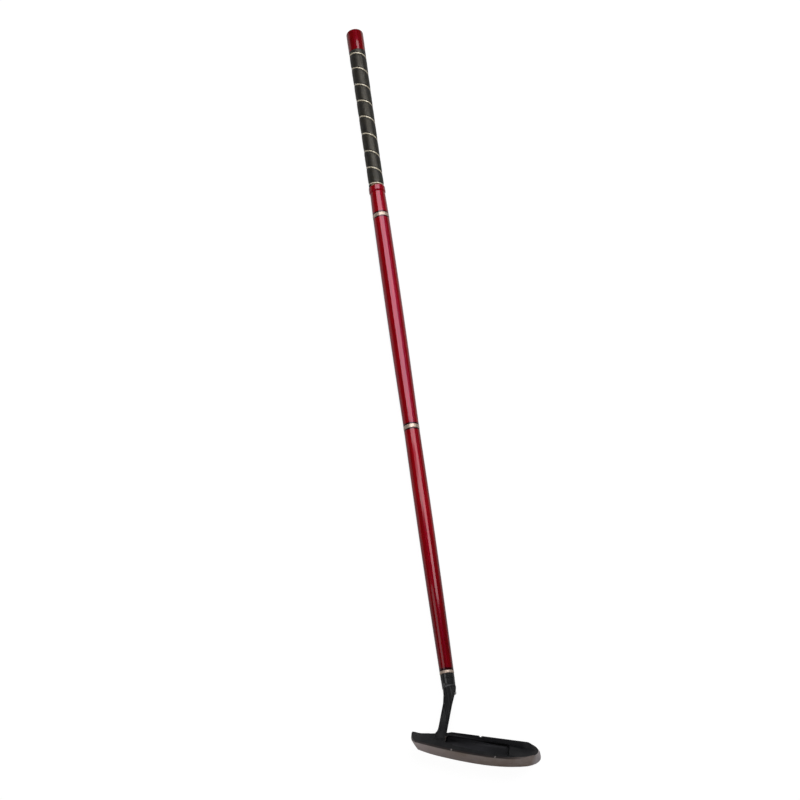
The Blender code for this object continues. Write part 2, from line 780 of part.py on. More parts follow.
def grip_underlay(joint, collection, finish):
    """The thin sleeve that builds the core up under the wrap."""
    outer = [(underlay_radius(height), height) for height in grip_stations(7)]
    inner = [(core_radius(height) + GAP, height) for height in reversed(grip_stations(7))]
    made = turned("grip_underlay", [*outer, *inner], collection, finish, hollow=True)
    return on_shaft(made, joint)


def butt_cap(joint, collection, finish):
    """The turned cap on the butt, with a rounded flat end and a spigot down into the core."""
    radius = CAP_RADIUS
    top = SECTION_LENGTH
    rim = WRAP_UPPER_DIAMETER / 2 + CAP_OVER_WRAP
    edge = CAP_EDGE_RADIUS
    points = [(0.0, top)]
    for i in range(5):
        angle = math.pi / 2 * (1 - i / 4)
        points.append((radius - edge + edge * math.cos(angle), top - edge + edge * math.sin(angle)))
    points += [
        (radius, top - CAP_STRAIGHT_LENGTH),
        (rim, CAP_BOTTOM),
        (CAP_SPIGOT_RADIUS, CAP_BOTTOM),
        (CAP_SPIGOT_RADIUS, WRAP_TOP - CAP_SPIGOT_LENGTH),
        (0.0, WRAP_TOP - CAP_SPIGOT_LENGTH),
    ]
    return on_shaft(turned("butt_cap", points, collection, finish), joint)


def helix_point(radius, turn, height):
    """A point on the grip. Turn 0 is the side that faces up, and turns grow towards +X."""
    angle = 2 * math.pi * turn
    return Vector((radius * math.sin(angle), -radius * math.cos(angle), height))


LOOP_POINTS = 24


def grip_wrap(joint, collection, cutters, finish):
    """One strip wound in a left-handed helix, each turn a little crowned, trimmed level at both ends."""
    width = WRAP_PITCH - PIPING_DIAMETER - 2 * PIPING_SIDE_GAP
    first = (PIPING_NEAR_SIDE - WRAP_TOP) / WRAP_PITCH - 1.15
    last = (PIPING_NEAR_SIDE - WRAP_BOTTOM) / WRAP_PITCH + 0.15
    count = math.ceil((last - first) * LOOP_POINTS)
    crown = [(0.0, WRAP_EDGE_THICKNESS), (0.22, 0.92 * WRAP_THICKNESS), (0.5, WRAP_THICKNESS),
             (0.78, 0.92 * WRAP_THICKNESS), (1.0, WRAP_EDGE_THICKNESS)]
    rings = []
    for i in range(count + 1):
        turn = first + i / LOOP_POINTS
        top = PIPING_NEAR_SIDE - turn * WRAP_PITCH - PIPING_DIAMETER / 2 - PIPING_SIDE_GAP
        ring = []
        for share, thickness in crown:
            height = top - share * width
            ring.append(helix_point(underlay_radius(height) + GAP + thickness, turn, height))
        for share in (1.0, 0.0):
            height = top - share * width
            ring.append(helix_point(underlay_radius(height) + GAP, turn, height))
        rings.append(ring)
    made = loft("grip_wrap", rings, collection, finish)
    reach = WRAP_UPPER_DIAMETER
    trim = as_guide(turned("wrap_trim", [(0.0, WRAP_TOP), (reach, WRAP_TOP), (reach, WRAP_BOTTOM),
                                         (0.0, WRAP_BOTTOM)], cutters))
    combine(made, on_shaft(trim, joint), "INTERSECT")
    return on_shaft(made, joint)


def piping_path():
    """The piping's centre line, which follows the gap between the turns of the strip."""
    first = (PIPING_NEAR_SIDE - WRAP_TOP + PIPING_DIAMETER) / WRAP_PITCH
    last = (PIPING_NEAR_SIDE - WRAP_BOTTOM - PIPING_DIAMETER) / WRAP_PITCH
    count = round((last - first) * LOOP_POINTS)
    path = []
    for i in range(count + 1):
        turn = first + (last - first) * i / count
        height = PIPING_NEAR_SIDE - turn * WRAP_PITCH
        radius = underlay_radius(height) + GAP + PIPING_DIAMETER / 2
        path.append(helix_point(radius, turn, height))
    return path


def least_gap(path, diameter):
    """The smallest clear distance between one turn of the piping and the next."""
    least = math.inf
    for i, point in enumerate(path):
        for other in path[i + LOOP_POINTS // 2:]:
            least = min(least, (point - other).length - diameter)
    return least


def grip_piping(joint, collection, finish):
    """The gold cord between the turns, one unbroken tube."""
    path = piping_path()
    curve = bpy.data.curves.new("grip_piping", "CURVE")
    curve.dimensions = "3D"
    curve.bevel_depth = PIPING_DIAMETER / 2
    curve.bevel_resolution = 1
    curve.use_fill_caps = True
    spline = curve.splines.new("POLY")
    spline.points.add(len(path) - 1)
    for point, place in zip(spline.points, path):
        point.co = (*place, 1.0)
    made = bpy.data.objects.new("grip_piping", curve)
    collection.objects.link(made)
    curve.materials.append(finish)
    print("least gap between the turns of the piping, mm:",
          round(1000 * least_gap(path, PIPING_DIAMETER), 2))
    return on_shaft(made, joint)


def main():
    clear_scene()
    putter = new_collection("mini_golf_putter")
    cutters = new_collection("cutters")

    black_casting = material("black_casting", (0.018, 0.019, 0.021), 0.4, 0.2)
    black_plastic = material("black_plastic", (0.015, 0.015, 0.017), 0.3, 0.0)
    red_lacquer = material("red_lacquer", (0.17, 0.004, 0.010), 0.12, 0.0)
    brass = material("brass", (0.62, 0.47, 0.34), 0.3, 1.0)
    steel = material("steel", (0.55, 0.55, 0.56), 0.35, 1.0)
    black_wrap = material("black_wrap", (0.022, 0.022, 0.020), 0.6, 0.0)
    gold_cord = material("gold_cord", (0.60, 0.47, 0.24), 0.4, 0.3)
    paper = material("grip_paper", (0.45, 0.38, 0.28), 0.9, 0.0)

    lower, middle, upper = thread_sizes()
    lower_joint = joint_empty("lower_joint", LOWER_JOINT_Y, putter)
    middle_joint = joint_empty("middle_joint", MIDDLE_JOINT_Y, putter)
    upper_joint = joint_empty("upper_joint", UPPER_JOINT_Y, putter)

    head(lower_joint, putter, cutters, black_casting)
    outer = FERRULE_DIAMETER / 2
    inner = SLEEVE_BODY_DIAMETER / 2 + GAP
    ferrule = [(outer, -FERRULE_TOP), (outer, -FERRULE_BOTTOM), (inner, -FERRULE_BOTTOM),
               (inner, -FERRULE_TOP)]
    on_shaft(turned("hosel_ferrule", ferrule, putter, black_plastic, hollow=True), lower_joint)
    hosel_sleeve(lower, lower_joint, putter, cutters, steel)

    joint_ring(lower, LOWER_END_DIAMETER, lower_joint, putter, brass)
    stud(lower, lower_joint, putter, cutters, steel)
    shaft_section("lower_shaft", lower, middle, LOWER_END_DIAMETER, MIDDLE_END_DIAMETER,
                  LOWER_SWELL, lower_joint, putter, red_lacquer)

    socket(middle, middle_joint, putter, cutters, brass)
    joint_ring(middle, MIDDLE_END_DIAMETER, middle_joint, putter, brass)
    stud(middle, middle_joint, putter, cutters, steel)
    shaft_section("middle_shaft", middle, upper, MIDDLE_END_DIAMETER, UPPER_END_DIAMETER,
                  MIDDLE_SWELL, middle_joint, putter, red_lacquer)

    socket(upper, upper_joint, putter, cutters, brass)
    joint_ring(upper, UPPER_END_DIAMETER, upper_joint, putter, brass)
    stud(upper, upper_joint, putter, cutters, steel)
    grip_shaft(upper, upper_joint, putter, red_lacquer)
    grip_collar(upper_joint, putter, red_lacquer)
    grip_underlay(upper_joint, putter, paper)
    grip_wrap(upper_joint, putter, cutters, black_wrap)
    grip_piping(upper_joint, putter, gold_cord)
    butt_cap(upper_joint, putter, red_lacquer)

    for made in putter.objects:
        if made.type == "MESH":
            smooth(made)


main()
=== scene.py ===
import math

import bmesh
import bpy
from mathutils import Euler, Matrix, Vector, noise


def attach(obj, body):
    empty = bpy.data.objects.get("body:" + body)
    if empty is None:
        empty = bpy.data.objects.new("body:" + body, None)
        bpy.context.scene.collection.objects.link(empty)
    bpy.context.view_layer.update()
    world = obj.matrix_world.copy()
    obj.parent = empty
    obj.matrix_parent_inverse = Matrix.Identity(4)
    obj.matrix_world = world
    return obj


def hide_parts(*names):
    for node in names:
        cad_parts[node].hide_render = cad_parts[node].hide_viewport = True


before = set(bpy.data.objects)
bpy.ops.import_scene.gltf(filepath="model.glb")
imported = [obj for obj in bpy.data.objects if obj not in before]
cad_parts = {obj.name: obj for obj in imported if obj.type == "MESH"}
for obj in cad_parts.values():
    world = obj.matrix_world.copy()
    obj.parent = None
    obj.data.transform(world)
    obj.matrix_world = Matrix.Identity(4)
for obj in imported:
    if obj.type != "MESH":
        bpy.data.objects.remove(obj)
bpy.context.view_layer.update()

# Camera
CAMERA_PLACE = (-0.10994, -0.23711, 1.32424)
CAMERA_ANGLES = (24.7228, -0.3376, -7.3533)
CAMERA_LENS = 63.0
CAMERA_SENSOR = 36.0

# Light: a large soft lamp above, a small one to the left, a weaker one that fills the shadow side, and a
# white surround. The lamps are flat, with their corners as x and y.
LAMP_HEIGHT = 2.60
KEY_CORNERS = (
    (0.45, 0.86), (0.00, 0.87), (-0.44, 1.05), (-0.55, 1.22), (-0.50, 1.40), (-1.05, 1.80), (-1.10, 2.48),
    (0.45, 2.84), (2.00, 3.04), (2.88, 3.36), (2.88, 1.80), (1.98, 1.20), (1.25, 0.90),
)
KEY_RADIANCE = 4.0
SIDE_CORNERS = ((-1.15, 0.42), (-2.40, 0.46), (-2.40, 1.14), (-1.15, 1.02))
SIDE_RADIANCE = 1.2
FILL_CORNERS = ((-2.60, -2.60), (0.20, -2.60), (0.20, -0.50), (-2.60, -0.50))
FILL_RADIANCE = 1.6
SURROUND_STRENGTH = 0.03
SURROUND_SEEN = 1.02
HORIZON_MIRRORED = 0.06
HORIZON_HEIGHT = 0.4
FLOOR_GLOW = 1.32
FLOOR_GLOW_SEEN = 0.72
FLOOR_GLOW_MIRRORED = 0.06
FLOOR_ALBEDO = 0.38
FLOOR_ROUGHNESS = 0.9
FLOOR_SIZE = 8.0
FLOOR_MIDDLE = (0.0, 0.4, 0.0)

# The shaft's axis and the middles of the rings
SHAFT_X = -0.0172041
SHAFT_Z = 0.00985
LOWER_RING_Y = 0.0739686
MIDDLE_RING_Y = 0.3289686
UPPER_RING_Y = 0.5839686
RING_PLACES = (LOWER_RING_Y, MIDDLE_RING_Y, UPPER_RING_Y)

# Painted shade: the wood darkens over these distances from the middle of a ring
RING_SHADE = (0.0031, 0.0045)

# The head's own directions: out of the sole, and out of the toe
LEAN = math.radians(19.0)
SOLE_NORMAL = (-math.sin(LEAN), -math.cos(LEAN), 0.0)
TOE_NORMAL = (math.cos(LEAN), -math.sin(LEAN), 0.0)

# Where the hosel's gloss ends on the middle line, how much that edge slants, and how wide the painted
# highlight along that edge is
HOSEL_GLOSS_Y = 0.0596
HOSEL_GLOSS_SLANT = 0.27
HOSEL_GLOSS_FADE = 0.0004
EDGE_HIGHLIGHT_LINE = (0.0003, 0.0009)

# The inner edge of the head's top rail: how far it is above the middle of the face, and how fast it rises
RAIL_INSIDE = 0.0085
RAIL_SLOPE = 0.075

# Where the head's looks change. A pair says where a change starts and where it ends. These are distances
# towards the sole, from the middle of the face, but the last one starts at the rail's inner edge.
SOLE_WALL = (-0.0040, -0.0032)
RAIL_LEVEL = (-0.0088, -0.0078)
NECK_LEVEL = (-0.020, -0.012)
# Where the painted light on the cavity's floor below the rail fades out
BELOW_RAIL = (0.0020, 0.0048)

# These are distances towards the toe, from the middle of the face
TOE_WALL = (0.044, 0.047)
# The cavity's painted shade, and the fade of its painted light below the rail and beside the neck
HOLLOW_SHADE_RANGE = (0.0, 0.022)
BELOW_RAIL_FADE = (0.0, 0.028)
NEAR_NECK = (-0.026, -0.008)
# Where the rail's painted shade ends
RAIL_HEEL_END = (-0.030, -0.026)
RAIL_TOE_END = (0.040, 0.046)
# Where the ends' painted light begins
HEEL_END = (-0.055, -0.048)
TOE_END = (0.049, 0.056)
PALE_HEEL = (-0.062, -0.012)
PALE_TOE = (0.051, 0.057)
BACK_EDGE_FADE = (0.022, 0.050)

# These are distances out of the face's plane: the cavity's floor and the dark back edge of the bare wall
HOLLOW_FLOOR = (0.0050, 0.0062)
BACK_EDGE = (0.0205, 0.0234)

# Two painted glints at corners of that edge: their places towards the toe, their depth and their half width
GLINT_PLACES = (-0.0228, 0.0176)
GLINT_DEPTH = (0.0218, 0.0234)
GLINT_WIDTH = (0.0003, 0.0009)

# How directly a face has to look out of the sole or the toe to be ground bare, how much the toe counts in
# that, and how directly one inside the cavity has to look towards the sole to get painted light
GROUND_FACING = (0.62, 0.70)
TOE_FACING_SHARE = 0.9
SOLE_FACING = (0.6, 0.8)

# The grip, with heights measured from the upper joint
WRAP_BOTTOM = 0.0388
WRAP_TOP = 0.2253
WRAP_LOWER_RADIUS = 0.0082
WRAP_UPPER_RADIUS = 0.0095
WRAP_STRAIGHT_SHARE = 0.35
STRIP_ABOVE_UNDERLAY = 0.0015
PIPING_RADIUS = 0.0008
PIPING_SIDE_GAP = 0.0003
PIPING_LIFT = 0.0001
PIPING_SIDES = 10
PITCH = 0.0225

# Where the piping runs: the turn, which is whole on the side that faces up, and its height there
PIPING_RUN = (
    (-1.36, 0.2246), (-1.25, 0.2225), (-1.00, 0.2195), (-0.75, 0.2156), (0.0, 0.1976), (1.0, 0.1743),
    (2.0, 0.1517), (3.0, 0.1295), (4.0, 0.1059), (5.0, 0.0823), (6.0, 0.0603), (6.5, 0.0489),
    (6.75, 0.0434), (7.0, 0.0403), (7.25, 0.0397), (7.57, 0.0397),
)
RUN_SMOOTHING = (-0.12, -0.06, 0.0, 0.06, 0.12)
PIPING_FIRST_TURN = -1.36
PIPING_LAST_TURN = 7.55
STRIP_FIRST_TURN = -2.36
STRIP_LAST_TURN = 6.83
LOOP_STATIONS = 60
SHARP_ANGLE = math.radians(50.0)

# The strip's rolled edge: the distance in from the edge, and the height above the underlay
ROLLED_EDGE = (
    (0.0, 0.0003), (0.0, 0.0010), (0.00012, 0.00134), (0.00035, 0.00150), (0.0009, 0.00160),
    (0.0022, 0.00169),
)
STRIP_CROWN = 0.00178
CROWN_SHARES = (0.22, 0.30, 0.38, 0.46, 0.54, 0.62, 0.70, 0.78)
FULL_WIDTH = 0.012
CREASE_DEPTH = 0.00009
CREASE_AROUND = 1.1
CREASE_ALONG = 520.0
CREASE_SHIFT = 3.0
CREASED_ABOVE = 0.0012
CAP_PRESS_LENGTH = 0.010
CAP_PRESS_DEPTH = 0.00025

# Node trees


class Nodes:
    """Short names for building one material's node tree."""

    def __init__(self, name):
        self.material = bpy.data.materials.new(name)
        self.material.use_nodes = True
        self.tree = self.material.node_tree
        self.tree.nodes.clear()
        self.output = self.tree.nodes.new("ShaderNodeOutputMaterial")
        self.shader = self.tree.nodes.new("ShaderNodeBsdfPrincipled")
        self.link(self.shader.outputs[0], self.output.inputs["Surface"])

    def link(self, source, target):
        self.tree.links.new(source, target)

    def feed(self, socket, value):
        if isinstance(value, bpy.types.NodeSocket):
            self.link(value, socket)
        else:
            socket.default_value = value

    def node(self, kind, inputs=(), **settings):
        made = self.tree.nodes.new("ShaderNode" + kind)
        for key, value in settings.items():
            setattr(made, key, value)
        for key, value in dict(inputs).items():
            self.feed(made.inputs[key], value)
        return made

    def surface(self, **values):
        for key, value in values.items():
            self.feed(self.shader.inputs[key.replace("_", " ")], value)

    def math(self, operation, a, b=0.0):
        return self.node("Math", {0: a, 1: b}, operation=operation).outputs[0]

    def plus(self, a, b):
        return self.math("ADD", a, b)

    def minus(self, a, b):
        return self.math("SUBTRACT", a, b)

    def times(self, a, b):
        return self.math("MULTIPLY", a, b)

    def larger(self, a, b):
        return self.math("MAXIMUM", a, b)

    def size(self, value):
        return self.math("ABSOLUTE", value)

    def place(self, scale=(1.0, 1.0, 1.0), offset=(0.0, 0.0, 0.0)):
        coordinates = self.node("TexCoord").outputs["Object"]
        return self.node("Mapping", {0: coordinates, 1: offset, 3: scale}).outputs[0]

    def noise(self, where, scale, detail=4.0, roughness=0.55, distortion=0.0):
        inputs = {"Vector": where, "Scale": scale, "Detail": detail, "Roughness": roughness,
                  "Distortion": distortion}
        return self.node("TexNoise", inputs).outputs["Fac"]

    def ramp(self, value, low, high, a=0.0, b=1.0):
        """Goes smoothly from a to b while the value goes from low to high."""
        inputs = {0: value, 1: low, 2: high, 3: a, 4: b}
        return self.node("MapRange", inputs, interpolation_type="SMOOTHSTEP").outputs[0]

    def mix(self, share, a, b):
        return self.node("Mix", {0: share, 6: a, 7: b}, data_type="RGBA").outputs[2]

    def between(self, value, low, high, pair):
        """Goes from the pair's first colour to its second."""
        return self.mix(self.ramp(value, low, high), *pair)

    def bump(self, height, distance, strength=1.0, normal=None):
        inputs = {"Height": height, "Distance": distance, "Strength": strength}
        if normal:
            inputs["Normal"] = normal
        return self.node("Bump", inputs).outputs[0]

    def split(self, where):
        return self.node("SeparateXYZ", {0: where}).outputs

    def along(self, where, direction):
        return self.node("VectorMath", {0: where, 1: direction}, operation="DOT_PRODUCT").outputs["Value"]


def colour(red, green, blue):
    return (red, green, blue, 1.0)


WHITE = colour(1.0, 1.0, 1.0)

# Wood, metal and plastic

WOOD_STAINS = ((0.500, 0.0030, 0.0080), (0.305, 0.0010, 0.0036), (0.256, 0.0006, 0.0026))
SHADED_WOOD = colour(0.020, 0.0005, 0.0010)
# Painted shade on the wood beside each ring
WOOD_SHADE_AT_RING = colour(0.030, 0.0015, 0.0015)
STEEL = (colour(0.62, 0.61, 0.60), colour(0.45, 0.44, 0.44))
BRIGHT_STEEL = (colour(0.95, 0.94, 0.93), colour(0.80, 0.79, 0.78))
SOCKET_BRASS = (colour(0.72, 0.55, 0.30), colour(0.52, 0.38, 0.18))
RING_BRASS = (colour(0.76, 0.61, 0.51), colour(0.66, 0.50, 0.40))
BLACK_PLASTIC = (colour(0.022, 0.022, 0.022), colour(0.031, 0.031, 0.032))


def along_shaft(nodes):
    return nodes.split(nodes.place())[1]


def near_ring(nodes, y):
    """1 on the wood's last millimetre before a ring, where shade is painted."""
    distance = nodes.size(nodes.minus(along_shaft(nodes), y))
    return nodes.ramp(distance, *RING_SHADE, 1.0, 0.0)


def lacquered_wood(name, grain_seed, depth=1.0, violet=0.9, darker_below=None, coat_roughness=0.055):
    """Red stain over fine straight grain, under a thick clear lacquer."""
    nodes = Nodes(name)
    long_grain = nodes.place(scale=(1.0, 0.035, 1.0), offset=(grain_seed, grain_seed, 0.0))
    fibre = nodes.noise(long_grain, 900.0, detail=6.0, roughness=0.65)
    broad_grain = nodes.place(scale=(1.0, 0.09, 1.0), offset=(0.0, grain_seed, 0.1))
    figure = nodes.noise(broad_grain, 160.0, detail=3.0, distortion=0.6)
    light, middle, dark = [colour(*(depth * part for part in stain)) for stain in WOOD_STAINS]
    tone = nodes.between(fibre, 0.35, 0.68, (middle, light))
    tone = nodes.mix(nodes.ramp(figure, 0.30, 0.70, 0.0, 0.45), tone, dark)
    if darker_below:
        share = nodes.ramp(along_shaft(nodes), LOWER_RING_Y, darker_below, 0.48, 0.0)
        tone = nodes.mix(share, tone, SHADED_WOOD)
    for y in RING_PLACES:
        # Painted shade beside each ring
        tone = nodes.mix(near_ring(nodes, y), tone, WOOD_SHADE_AT_RING)
    level = nodes.noise(nodes.place(scale=(1.0, 0.3, 1.0)), 240.0, detail=2.0)
    nodes.surface(
        Base_Color=tone,
        Metallic=0.09,
        Roughness=0.19,
        Specular_IOR_Level=0.2,
        Specular_Tint=colour(1.0, 0.0, violet),
        Normal=nodes.bump(fibre, 0.00002, 0.1),
        Coat_Weight=1.0,
        Coat_Roughness=coat_roughness,
        Coat_IOR=1.45,
        Coat_Normal=nodes.bump(level, 0.00006, 0.06),
    )
    return nodes.material


def polished_ring(name):
    """Pale brass, turned, with faint circular marks and a little tarnish."""
    nodes = Nodes(name)
    rings = nodes.noise(nodes.place(scale=(0.02, 1.0, 0.02)), 5200.0, detail=2.0)
    blotch = nodes.noise(nodes.place(), 420.0, detail=3.0)
    nodes.surface(
        Base_Color=nodes.between(blotch, 0.35, 0.7, RING_BRASS),
        Metallic=0.6,
        Roughness=nodes.ramp(blotch, 0.3, 0.7, 0.36, 0.46),
        Normal=nodes.bump(rings, 0.00002, 0.35),
    )
    return nodes.material


def turned_metal(name, pair, roughness, metallic=1.0):
    """Bare turned metal for the studs, the sockets and the sleeve."""
    nodes = Nodes(name)
    marks = nodes.noise(nodes.place(scale=(0.03, 1.0, 0.03)), 6000.0, detail=2.0)
    blotch = nodes.noise(nodes.place(), 350.0, detail=4.0)
    nodes.surface(
        Base_Color=nodes.between(blotch, 0.35, 0.7, pair),
        Metallic=metallic,
        Roughness=nodes.ramp(blotch, 0.3, 0.7, roughness, roughness + 0.12),
        Normal=nodes.bump(marks, 0.00003, 0.5),
    )
    return nodes.material


def glossy_plastic(name):
    nodes = Nodes(name)
    level = nodes.noise(nodes.place(), 300.0, detail=2.0)
    speck = nodes.noise(nodes.place(), 2400.0, detail=2.0)
    nodes.surface(
        Base_Color=nodes.between(speck, 0.4, 0.7, BLACK_PLASTIC),
        Roughness=nodes.ramp(level, 0.3, 0.7, 0.05, 0.10),
        Normal=nodes.bump(level, 0.00005, 0.3),
    )
    return nodes.material


# The head

PAINT = (colour(0.0165, 0.0167, 0.0182), colour(0.0265, 0.0265, 0.0280))
# Painted light and shade on the cavity's floor
HOLLOW_LIGHT_TO_SHADE = (colour(0.035, 0.035, 0.040), colour(0.0185, 0.0185, 0.021))
HOLLOW_PAINTED_LIGHT = colour(0.088, 0.088, 0.097)
# Painted shade on the rail
RAIL_PAINTED_SHADE = colour(0.0075, 0.0075, 0.0090)
# Painted light on the two ends
ENDS_PAINTED_LIGHT = colour(0.036, 0.035, 0.036)
# Painted light on the cavity's inner wall, which faces the sole
INNER_WALL_PAINTED_LIGHT = colour(0.075, 0.075, 0.082)
NECK_PAINT = (colour(0.013, 0.013, 0.0135), colour(0.038, 0.038, 0.039))
HOSEL_GLOSS = colour(0.022, 0.022, 0.023)
# Painted highlight along the lower edge of the hosel's gloss
HOSEL_EDGE_HIGHLIGHT = colour(0.11, 0.11, 0.115)
BARE_METAL = (colour(0.52, 0.425, 0.395), colour(0.40, 0.295, 0.245))
BARE_SCRATCHED = colour(0.57, 0.515, 0.485)
BARE_AT_HEEL = colour(0.80, 0.68, 0.67)
BARE_AT_TOE = colour(0.72, 0.66, 0.68)
BARE_BACK_EDGE = colour(0.024, 0.016, 0.016)
# Painted glint
BARE_GLINT = colour(0.72, 0.66, 0.64)


def past_hosel_gloss(nodes):
    """How far a point is above the slanted edge of the hosel's gloss."""
    x, y, z = nodes.split(nodes.place())
    slant = nodes.times(nodes.minus(x, SHAFT_X), HOSEL_GLOSS_SLANT)
    return nodes.minus(nodes.minus(y, HOSEL_GLOSS_Y), slant)


def painted_hollow_light(nodes, sole_side, toe_side):
    """Painted light and shade on the cavity's floor: darker towards the toe, and painted light along the
    rail and beside the neck.
    """
    paint = nodes.between(toe_side, *HOLLOW_SHADE_RANGE, HOLLOW_LIGHT_TO_SHADE)
    from_rail = nodes.plus(nodes.times(toe_side, RAIL_SLOPE), nodes.plus(sole_side, RAIL_INSIDE))
    near_rail = nodes.times(nodes.ramp(from_rail, *BELOW_RAIL, 1.0, 0.0),
                            nodes.ramp(toe_side, *BELOW_RAIL_FADE, 1.0, 0.25))
    near_neck = nodes.ramp(toe_side, *NEAR_NECK, 0.4, 0.0)
    return nodes.mix(nodes.larger(near_rail, near_neck), paint, HOLLOW_PAINTED_LIGHT)


def head_paint(nodes, sole_side, toe_side, depth, inner_wall):
    """Black paint, with painted light and shade on the cavity, painted shade on the rail, painted light on
    the two ends and the inner wall, and the neck's own streaked tone.
    """
    patch = nodes.noise(nodes.place(), 90.0, detail=3.0)
    paint = nodes.between(patch, 0.35, 0.7, PAINT)
    # Painted light and shade on the cavity's floor
    hollow = nodes.ramp(depth, *HOLLOW_FLOOR, 1.0, 0.0)
    paint = nodes.mix(hollow, paint, painted_hollow_light(nodes, sole_side, toe_side))
    # Painted shade on the rail
    on_rail = nodes.times(nodes.ramp(sole_side, *RAIL_LEVEL, 1.0, 0.0), nodes.ramp(toe_side, *RAIL_HEEL_END))
    on_rail = nodes.times(on_rail, nodes.ramp(toe_side, *RAIL_TOE_END, 1.0, 0.0))
    paint = nodes.mix(on_rail, paint, RAIL_PAINTED_SHADE)
    # Painted light on the two ends
    at_ends = nodes.larger(nodes.ramp(toe_side, *HEEL_END, 1.0, 0.0), nodes.ramp(toe_side, *TOE_END))
    paint = nodes.mix(at_ends, paint, ENDS_PAINTED_LIGHT)
    # Painted light on the inner wall
    paint = nodes.mix(inner_wall, paint, INNER_WALL_PAINTED_LIGHT)
    fine_grain = nodes.noise(nodes.place(scale=(1.0, 0.05, 1.0)), 620.0, detail=2.0)
    neck_paint = nodes.between(fine_grain, 0.38, 0.62, NECK_PAINT)
    return nodes.mix(nodes.ramp(sole_side, *NECK_LEVEL, 1.0, 0.0), paint, neck_paint)


def bare_metal(nodes, toe_side, depth, scratches):
    """Stained, scratched metal, paler at the heel and the toe. Its back edge is dark but for two painted
    glints at corners.
    """
    stain = nodes.noise(nodes.place(), 60.0, detail=4.0, roughness=0.6)
    bare = nodes.between(stain, 0.35, 0.68, BARE_METAL)
    bare = nodes.mix(nodes.ramp(scratches, 0.3, 0.75, 0.0, 0.5), bare, BARE_SCRATCHED)
    bare = nodes.mix(nodes.ramp(toe_side, *PALE_HEEL, 1.0, 0.0), bare, BARE_AT_HEEL)
    bare = nodes.mix(nodes.ramp(toe_side, *PALE_TOE, 0.0, 0.85), bare, BARE_AT_TOE)
    at_back = nodes.times(nodes.ramp(depth, *BACK_EDGE, 0.0, 0.92),
                          nodes.ramp(toe_side, *BACK_EDGE_FADE, 1.0, 0.35))
    bare = nodes.mix(at_back, bare, BARE_BACK_EDGE)
    # Painted glints at two corners of the back edge
    for corner in GLINT_PLACES:
        beside = nodes.size(nodes.minus(toe_side, corner))
        glint = nodes.times(nodes.ramp(beside, *GLINT_WIDTH, 0.8, 0.0),
                             nodes.ramp(depth, *GLINT_DEPTH))
        bare = nodes.mix(glint, bare, BARE_GLINT)
    return bare


def painted_casting(name):
    """Black paint over a cast surface. The sole and the toe wall are ground to bare metal."""
    nodes = Nodes(name)
    where = nodes.place()
    depth = nodes.split(where)[2]
    sole_side = nodes.along(where, SOLE_NORMAL)
    toe_side = nodes.along(where, TOE_NORMAL)
    normal = nodes.node("TexCoord").outputs["Normal"]
    to_sole = nodes.larger(nodes.along(normal, SOLE_NORMAL), 0.0)
    to_toe = nodes.times(nodes.larger(nodes.along(normal, TOE_NORMAL), 0.0), TOE_FACING_SHARE)
    squares = nodes.plus(nodes.math("POWER", to_sole, 2.0), nodes.math("POWER", to_toe, 2.0))
    on_wall = nodes.larger(nodes.ramp(sole_side, *SOLE_WALL), nodes.ramp(toe_side, *TOE_WALL))
    ground = nodes.times(nodes.ramp(nodes.math("SQRT", squares), *GROUND_FACING), on_wall)
    inner_wall = nodes.times(nodes.ramp(to_sole, *SOLE_FACING), nodes.minus(1.0, on_wall))
    past_gloss = past_hosel_gloss(nodes)
    hosel = nodes.ramp(past_gloss, 0.0, HOSEL_GLOSS_FADE)
    # Painted highlight along the edge of the hosel's gloss
    edge_highlight = nodes.ramp(nodes.size(past_gloss), *EDGE_HIGHLIGHT_LINE, 0.8, 0.0)

    cast = nodes.noise(where, 1500.0, detail=4.0, roughness=0.6)
    scratches = nodes.noise(nodes.place(scale=(1.0, 1.0, 0.05)), 2600.0, detail=3.0)
    paint = head_paint(nodes, sole_side, toe_side, depth, inner_wall)
    tone = nodes.mix(ground, paint, bare_metal(nodes, toe_side, depth, scratches))
    tone = nodes.mix(hosel, tone, HOSEL_GLOSS)
    nodes.surface(
        Base_Color=nodes.mix(edge_highlight, tone, HOSEL_EDGE_HIGHLIGHT),
        Metallic=nodes.times(ground, 0.55),
        Specular_IOR_Level=0.06,
        Roughness=nodes.ramp(ground, 0.0, 1.0, 0.44, 0.48),
        Normal=nodes.bump(nodes.mix(ground, cast, scratches), 0.00005, 0.35),
        Coat_Weight=hosel,
        Coat_Roughness=0.06,
    )
    return nodes.material


# The grip's strip, piping and underlay

BROWN_LEATHER = (colour(0.0160, 0.0136, 0.0082), colour(0.0250, 0.0224, 0.0165))
BLUE_LEATHER = (colour(0.0140, 0.0138, 0.0145), colour(0.0225, 0.0228, 0.0250))
RUBBED_LEATHER = colour(0.038, 0.037, 0.034)
LEATHER_SHEEN = colour(1.0, 0.94, 0.82)
GOLD = (colour(1.0, 0.93, 0.76), colour(0.92, 0.78, 0.54))
PAPER = (colour(0.42, 0.34, 0.23), colour(0.56, 0.47, 0.34))


